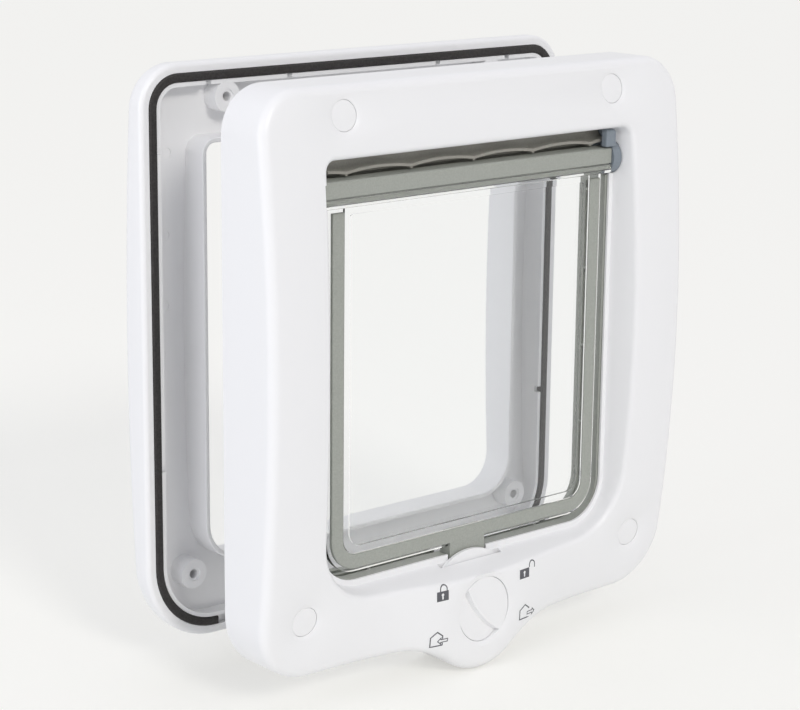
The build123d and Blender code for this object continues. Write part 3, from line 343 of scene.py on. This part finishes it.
# %% [markdown]
# ## The printed signs
# Four pad-printed signs round the dial say what each position does: locked, open, out only and in
# only. A decal texture would need an image, so each sign is a piece: a flat outline, cut fine
# enough to bend, dropped on the domed face along the way the pad pressed it, and left a few
# hundredths of a millimetre proud of it, as ink is.

# %% The ink
INK_CLOUD_MM = 1.11


def pad_print(name, hex_code, roughness):
    """Matt printing ink whose cover is a little uneven."""
    material, tree, shader = new_material(name)
    place = add(tree, "ShaderNodeTexCoord").outputs["Object"]
    scale = 1 / (INK_CLOUD_MM * MM)
    cloud = add(tree, "ShaderNodeTexNoise", Vector=place, Scale=scale, Detail=2.0)
    tone = add(tree, "ShaderNodeMapRange", Value=cloud.outputs["Fac"], To_Min=0.9, To_Max=1.1)
    shade = tone.outputs["Result"]
    scaled = {"operation": "SCALE"}
    tinted = add(tree, "ShaderNodeVectorMath", scaled, n0=colour(hex_code)[:3], Scale=shade)
    tree.links.new(tinted.outputs["Vector"], shader.inputs["Base Color"])
    shader.inputs["Roughness"].default_value = roughness
    return material


ink = pad_print("grey_pad_print", "5A5B60", 0.55)

# %% [markdown]
# ## Cutting and printing a sign
# Three small tools work on a flat sign in millimetres: one adds an outline, one leaves only an
# even line along it, and one wipes a rectangle clean. The last one prints it. It casts a ray from
# in front of every point to the frame's own mesh, so the sign follows the dome wherever it lies.

# %% Tools for signs
INK_PROUD = 0.05 * MM
INK_STEP = 0.8 * MM
IN_FRONT = -0.1

face_tree = BVHTree.FromPolygons(
    [v.co for v in nodes["inner_frame"].data.vertices],
    [p.vertices for p in nodes["inner_frame"].data.polygons],
)


def whole(bm):
    """All the points, edges and faces of a bmesh."""
    return bm.verts[:] + bm.edges[:] + bm.faces[:]


def add_shape(bm, points):
    """A flat face in the XZ plane through points in millimetres."""
    return bm.faces.new([bm.verts.new((x, 0, z)) for x, z in points])


def hollow(bm, face, line):
    """Leaves only an even line of ink along the inside of a face's outline."""
    bm.normal_update()
    bmesh.ops.inset_region(
        bm, faces=[face], thickness=line, use_boundary=True, use_even_offset=True
    )
    bmesh.ops.delete(bm, geom=[face], context="FACES_ONLY")


def wipe(bm, low, high):
    """Takes away the ink between two corners, cutting faces where they cross the edge."""
    across = [((corner[0], 0, 0), (1, 0, 0)) for corner in (low, high)]
    upright = [((0, 0, corner[1]), (0, 0, 1)) for corner in (low, high)]
    for point, normal in across + upright:
        bmesh.ops.bisect_plane(bm, geom=whole(bm), plane_co=point, plane_no=normal)
    middles = [(face, face.calc_center_median()) for face in bm.faces]
    gone = [f for f, m in middles if low[0] < m.x < high[0] and low[1] < m.z < high[1]]
    bmesh.ops.delete(bm, geom=gone, context="FACES")


def print_sign(name, bm, centre):
    """Cuts a flat sign fine and drops it on the face at centre, in X and Z."""
    bmesh.ops.scale(bm, vec=(MM, MM, MM), verts=bm.verts)
    bmesh.ops.translate(bm, vec=(centre[0] * MM, 0, centre[1] * MM), verts=bm.verts)
    bmesh.ops.triangulate(bm, faces=bm.faces)
    long_edges = [e for e in bm.edges if e.calc_length() > INK_STEP]
    bmesh.ops.subdivide_edges(bm, edges=long_edges, cuts=3, use_grid_fill=True)
    for vert in bm.verts:
        start = Vector((vert.co.x, IN_FRONT, vert.co.z))
        hit = face_tree.ray_cast(start, Vector((0, 1, 0)))[0]
        vert.co.y = hit.y - INK_PROUD
    bmesh.ops.recalc_face_normals(bm, faces=bm.faces)
    mesh = bpy.data.meshes.new(name)
    bm.to_mesh(mesh)
    bm.free()
    mesh.materials.append(ink)
    sign = bpy.data.objects.new(name, mesh)
    bpy.context.scene.collection.objects.link(sign)
    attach(sign, "frame")
    print(name, "faces:", len(mesh.polygons))
    return sign


# %% [markdown]
# ## Two padlocks
# A locked and an open padlock stand above the dial, each a solid body with a clear keyhole and a
# thin bow. Half of the body is drawn and mirrored, so that both sides of the keyhole match. The
# bow starts as a disc, which is hollowed, cut in half and given legs. On the open padlock it
# stands beside the body and one leg ends short.

# %% Padlocks
LINE = 0.5
BODY_WIDTH, BODY_HEIGHT = 5.7, 4.0
KEY_CENTRE, KEY_RADIUS, KEY_STEM, KEY_DROP = 0.5, 0.62, 0.34, 1.35
KEY_STEPS, KEY_STEP_ANGLE = 14, 12
BOW_RADIUS, BOW_LEG = 1.85, 0.9
BOW_SEGMENTS = 32


def padlock_body():
    """A solid body with a keyhole, mirrored from its left half."""
    bm = bmesh.new()
    half = BODY_HEIGHT / 2
    turns = [math.radians(90 + KEY_STEP_ANGLE * i) for i in range(KEY_STEPS)]
    rounded = [(KEY_RADIUS * math.cos(t), KEY_CENTRE + KEY_RADIUS * math.sin(t)) for t in turns]
    keyhole = [(x, z) for x, z in rounded if x <= -KEY_STEM or z > KEY_CENTRE]
    stem = [(-KEY_STEM, -KEY_DROP), (0, -KEY_DROP)]
    outside = [(0, -half), (-BODY_WIDTH / 2, -half), (-BODY_WIDTH / 2, half)]
    add_shape(bm, [(0, half), *keyhole, *stem, *outside])
    bmesh.ops.mirror(bm, geom=whole(bm), merge_dist=0.001, axis="X")
    return bm


def padlock(bow_x, open_leg):
    """A padlock. bow_x moves its bow sideways, and open_leg lengthens the bow's far leg."""
    bm = padlock_body()
    body = set(bm.faces)
    bow_z = BODY_HEIGHT / 2 + BOW_LEG
    circle = bmesh.ops.create_circle(bm, cap_ends=True, segments=BOW_SEGMENTS, radius=BOW_RADIUS)
    bow = circle["verts"]
    bmesh.ops.rotate(bm, verts=bow, matrix=Matrix.Rotation(math.radians(90), 3, "X"))
    bmesh.ops.translate(bm, verts=bow, vec=(bow_x, 0, bow_z))
    disc = next(face for face in bm.faces if face not in body)
    hollow(bm, disc, LINE)
    ring = [face for face in bm.faces if face not in body]
    edges = list({e for f in ring for e in f.edges})
    verts = list({v for f in ring for v in f.verts})
    cut = bmesh.ops.bisect_plane(
        bm, geom=ring + edges + verts, plane_co=(0, 0, bow_z), plane_no=(0, 0, 1), clear_inner=True
    )
    ends = [item for item in cut["geom_cut"] if isinstance(item, bmesh.types.BMEdge)]
    legs = bmesh.ops.extrude_edge_only(bm, edges=ends)["geom"]
    feet = [item for item in legs if isinstance(item, bmesh.types.BMVert)]
    for foot in feet:
        foot.co.z -= BOW_LEG if foot.co.x < bow_x or not open_leg else BOW_LEG + open_leg
    return bm


# %% [markdown]
# ## Two houses with arrows
# Below the padlocks, a house outline with an arrow through its right-hand wall says that the cat
# may only go out or only come in. The house and the arrow are outlines of one line width. The
# wall is wiped clean where the arrow crosses it, so that the two never run into each other.

# %% Houses
HOUSE_WIDTH, WALL_HEIGHT, ROOF_RISE = 6.2, 4.3, 2.1
RIDGE_SHARE = 0.1
SHAFT_LENGTH, SHAFT_HALF, HEAD_LENGTH, HEAD_HALF = 3.2, 0.75, 2.0, 1.7
ARROW_HEIGHT_SHARE = 0.48
ARROW_LINE = 0.75 * LINE
ARROW_GAP = 0.1
OUT_START_SHARE, IN_START_SHARE = -0.45, 0.75


def arrow_outline(points_out):
    """An arrow's outline that starts at x = 0 and points to +X, or to -X if it points in."""
    bm = bmesh.new()
    shape = [
        (0, -SHAFT_HALF),
        (SHAFT_LENGTH, -SHAFT_HALF),
        (SHAFT_LENGTH, -HEAD_HALF),
        (SHAFT_LENGTH + HEAD_LENGTH, 0),
        (SHAFT_LENGTH, HEAD_HALF),
        (SHAFT_LENGTH, SHAFT_HALF),
        (0, SHAFT_HALF),
    ]
    hollow(bm, add_shape(bm, shape), ARROW_LINE)
    if not points_out:
        bmesh.ops.rotate(bm, verts=bm.verts, matrix=Matrix.Rotation(math.pi, 3, "Y"))
    return bm


def house(points_out):
    """A house's outline with an arrow through its right-hand wall, pointing out or in."""
    bm = bmesh.new()
    half = HOUSE_WIDTH / 2
    ridge = (RIDGE_SHARE * half, WALL_HEIGHT + ROOF_RISE)
    walls = [(-half, 0), (half, 0), (half, WALL_HEIGHT), ridge, (-half, WALL_HEIGHT)]
    hollow(bm, add_shape(bm, walls), LINE)
    middle = ARROW_HEIGHT_SHARE * WALL_HEIGHT
    clear = (HEAD_HALF if points_out else SHAFT_HALF) + ARROW_GAP
    wipe(bm, (half - 1.5 * LINE, middle - clear), (half + LINE, middle + clear))
    arrow = arrow_outline(points_out)
    start = half + (OUT_START_SHARE if points_out else IN_START_SHARE) * SHAFT_LENGTH
    bmesh.ops.translate(arrow, verts=arrow.verts, vec=(start, 0, middle))
    loose = bpy.data.meshes.new("arrow_outline")
    arrow.to_mesh(loose)
    arrow.free()
    bm.from_mesh(loose)
    bpy.data.meshes.remove(loose)
    return bm


# %% Print the signs where the dial points
SIGNS = {
    "sign_locked": (padlock(0.45, 0), (-22.4, -94.3)),
    "sign_open": (padlock(4.6, 0.6), (22.0, -94.5)),
    "sign_out_only": (house(True), (22.6, -114.2)),
    "sign_in_only": (house(False), (-25.0, -115.1)),
}
for sign_name, (shape, sign_centre) in SIGNS.items():
    print_sign(sign_name, shape, sign_centre)

# %% [markdown]
# ## The floor
# A plain pale floor, as wide as a studio's paper sweep. A matt floor alone would turn grey away
# from the lamps, so to the camera it is a mix: part of it is the even background colour, and the
# rest takes light and shadow as paper does. Reflections and the view through the clear flap see
# the same mix.

# %% Floor
BACKGROUND = "F4F3EF"
FLOOR_COLOUR = "F9F9F5"
FLOOR_HALF_SIZE = 9.0
FLOOR_GAP = 0.5 * MM
SHADOW_SHARE = 0.55
FLOOR_LIFT = 1.165


def seen_rays(tree):
    """1 for rays that reach the eye straight, by reflection or through clear plastic."""
    rays = add(tree, "ShaderNodeLightPath").outputs
    larger = {"operation": "MAXIMUM"}
    camera, glossy = rays["Is Camera Ray"], rays["Is Glossy Ray"]
    straight = add(tree, "ShaderNodeMath", larger, n0=camera, n1=glossy).outputs["Value"]
    through = rays["Is Transmission Ray"]
    return add(tree, "ShaderNodeMath", larger, n0=straight, n1=through).outputs["Value"]


def floor_material():
    """A pale matt floor whose shadow is softened to the camera."""
    material = bpy.data.materials.new("studio_floor")
    material.use_nodes = True
    tree = material.node_tree
    tree.nodes.clear()
    paper = add(tree, "ShaderNodeBsdfDiffuse", Color=colour(FLOOR_COLOUR)).outputs["BSDF"]
    glow = add(tree, "ShaderNodeEmission", Color=colour(BACKGROUND), Strength=FLOOR_LIFT)
    product = {"operation": "MULTIPLY"}
    share = add(tree, "ShaderNodeMath", product, n0=seen_rays(tree), n1=1 - SHADOW_SHARE)
    even = glow.outputs["Emission"]
    mixed = add(tree, "ShaderNodeMixShader", Fac=share.outputs["Value"], n1=paper, n2=even)
    add(tree, "ShaderNodeOutputMaterial", Surface=mixed.outputs["Shader"])
    return material


def make_floor():
    """A large square floor just below the flap."""
    bm = bmesh.new()
    bmesh.ops.create_grid(bm, x_segments=4, y_segments=4, size=FLOOR_HALF_SIZE)
    bmesh.ops.translate(bm, vec=(0, 0, cad_low.z - FLOOR_GAP), verts=bm.verts)
    mesh = bpy.data.meshes.new("floor")
    bm.to_mesh(mesh)
    bm.free()
    mesh.materials.append(floor_material())
    floor = bpy.data.objects.new("floor", mesh)
    bpy.context.scene.collection.objects.link(floor)
    print("floor at", round((cad_low.z - FLOOR_GAP) / MM, 1), "mm")


make_floor()

# %% [markdown]
# ## Sky and lamps
# Light comes from three places. The sky is brighter overhead than at the horizon, as in a room
# with a pale ceiling, so faces that look up come out a little lighter. One sun, in front and a
# little to the left, gives the dial its relief and throws the soft shadow behind the flap. A sun
# is used because it falls evenly on the whole floor, where a lamp near by would leave a bright
# patch. One wide lamp fills the left side of the frames.

# %% Sky
SKY_COLOUR = "F7F8FF"
SKY_AT_HORIZON, SKY_OVERHEAD = 0.28, 0.88


def make_world():
    """A pale sky for light, and the background's own colour for what is seen."""
    world = bpy.data.worlds.new("studio")
    bpy.context.scene.world = world
    world.use_nodes = True
    tree = world.node_tree
    tree.nodes.clear()
    way = add(tree, "ShaderNodeTexCoord").outputs["Generated"]
    height = add(tree, "ShaderNodeSeparateXYZ", Vector=way).outputs["Z"]
    low, high = SKY_AT_HORIZON, SKY_OVERHEAD
    glow = add(tree, "ShaderNodeMapRange", Value=height, To_Min=low, To_Max=high)
    strength = glow.outputs["Result"]
    light = add(tree, "ShaderNodeBackground", Color=colour(SKY_COLOUR), Strength=strength)
    seen = add(tree, "ShaderNodeBackground", Color=colour(BACKGROUND), Strength=1.0)
    lit, shown = light.outputs["Background"], seen.outputs["Background"]
    mixed = add(tree, "ShaderNodeMixShader", Fac=seen_rays(tree), n1=lit, n2=shown)
    add(tree, "ShaderNodeOutputWorld", Surface=mixed.outputs["Shader"])
    print("sky from", SKY_AT_HORIZON, "to", SKY_OVERHEAD)


make_world()

# %% Sun and lamp
KEY_FROM, KEY_ANGLE, KEY_STRENGTH = (-0.2, -1.0, 0.62), 14, 0.95
SIDE_PLACE, SIDE_SIZE, SIDE_WATTS = (-1.5, 0.0, 0.3), 1.2, 6.8


def make_light(name, kind, strength, hex_code, place):
    """A light of a kind at place, turned to the model's origin. Returns its data."""
    data = bpy.data.lights.new(name, kind)
    data.energy = strength
    data.color = colour(hex_code)[:3]
    light = bpy.data.objects.new(name, data)
    bpy.context.scene.collection.objects.link(light)
    light.location = Vector(place)
    light.rotation_euler = (-Vector(place)).to_track_quat("-Z", "Y").to_euler()
    print("light", name)
    return data


key = make_light("key_in_front", "SUN", KEY_STRENGTH, "FFFCF6", KEY_FROM)
key.angle = math.radians(KEY_ANGLE)
side = make_light("left_side", "AREA", SIDE_WATTS, "F6F8FF", SIDE_PLACE)
side.shape = "SQUARE"
side.size = SIDE_SIZE

# %% [markdown]
# ## Finish
# The Standard view keeps colours as written.

# %% Colour management
bpy.context.scene.view_settings.view_transform = "Standard"
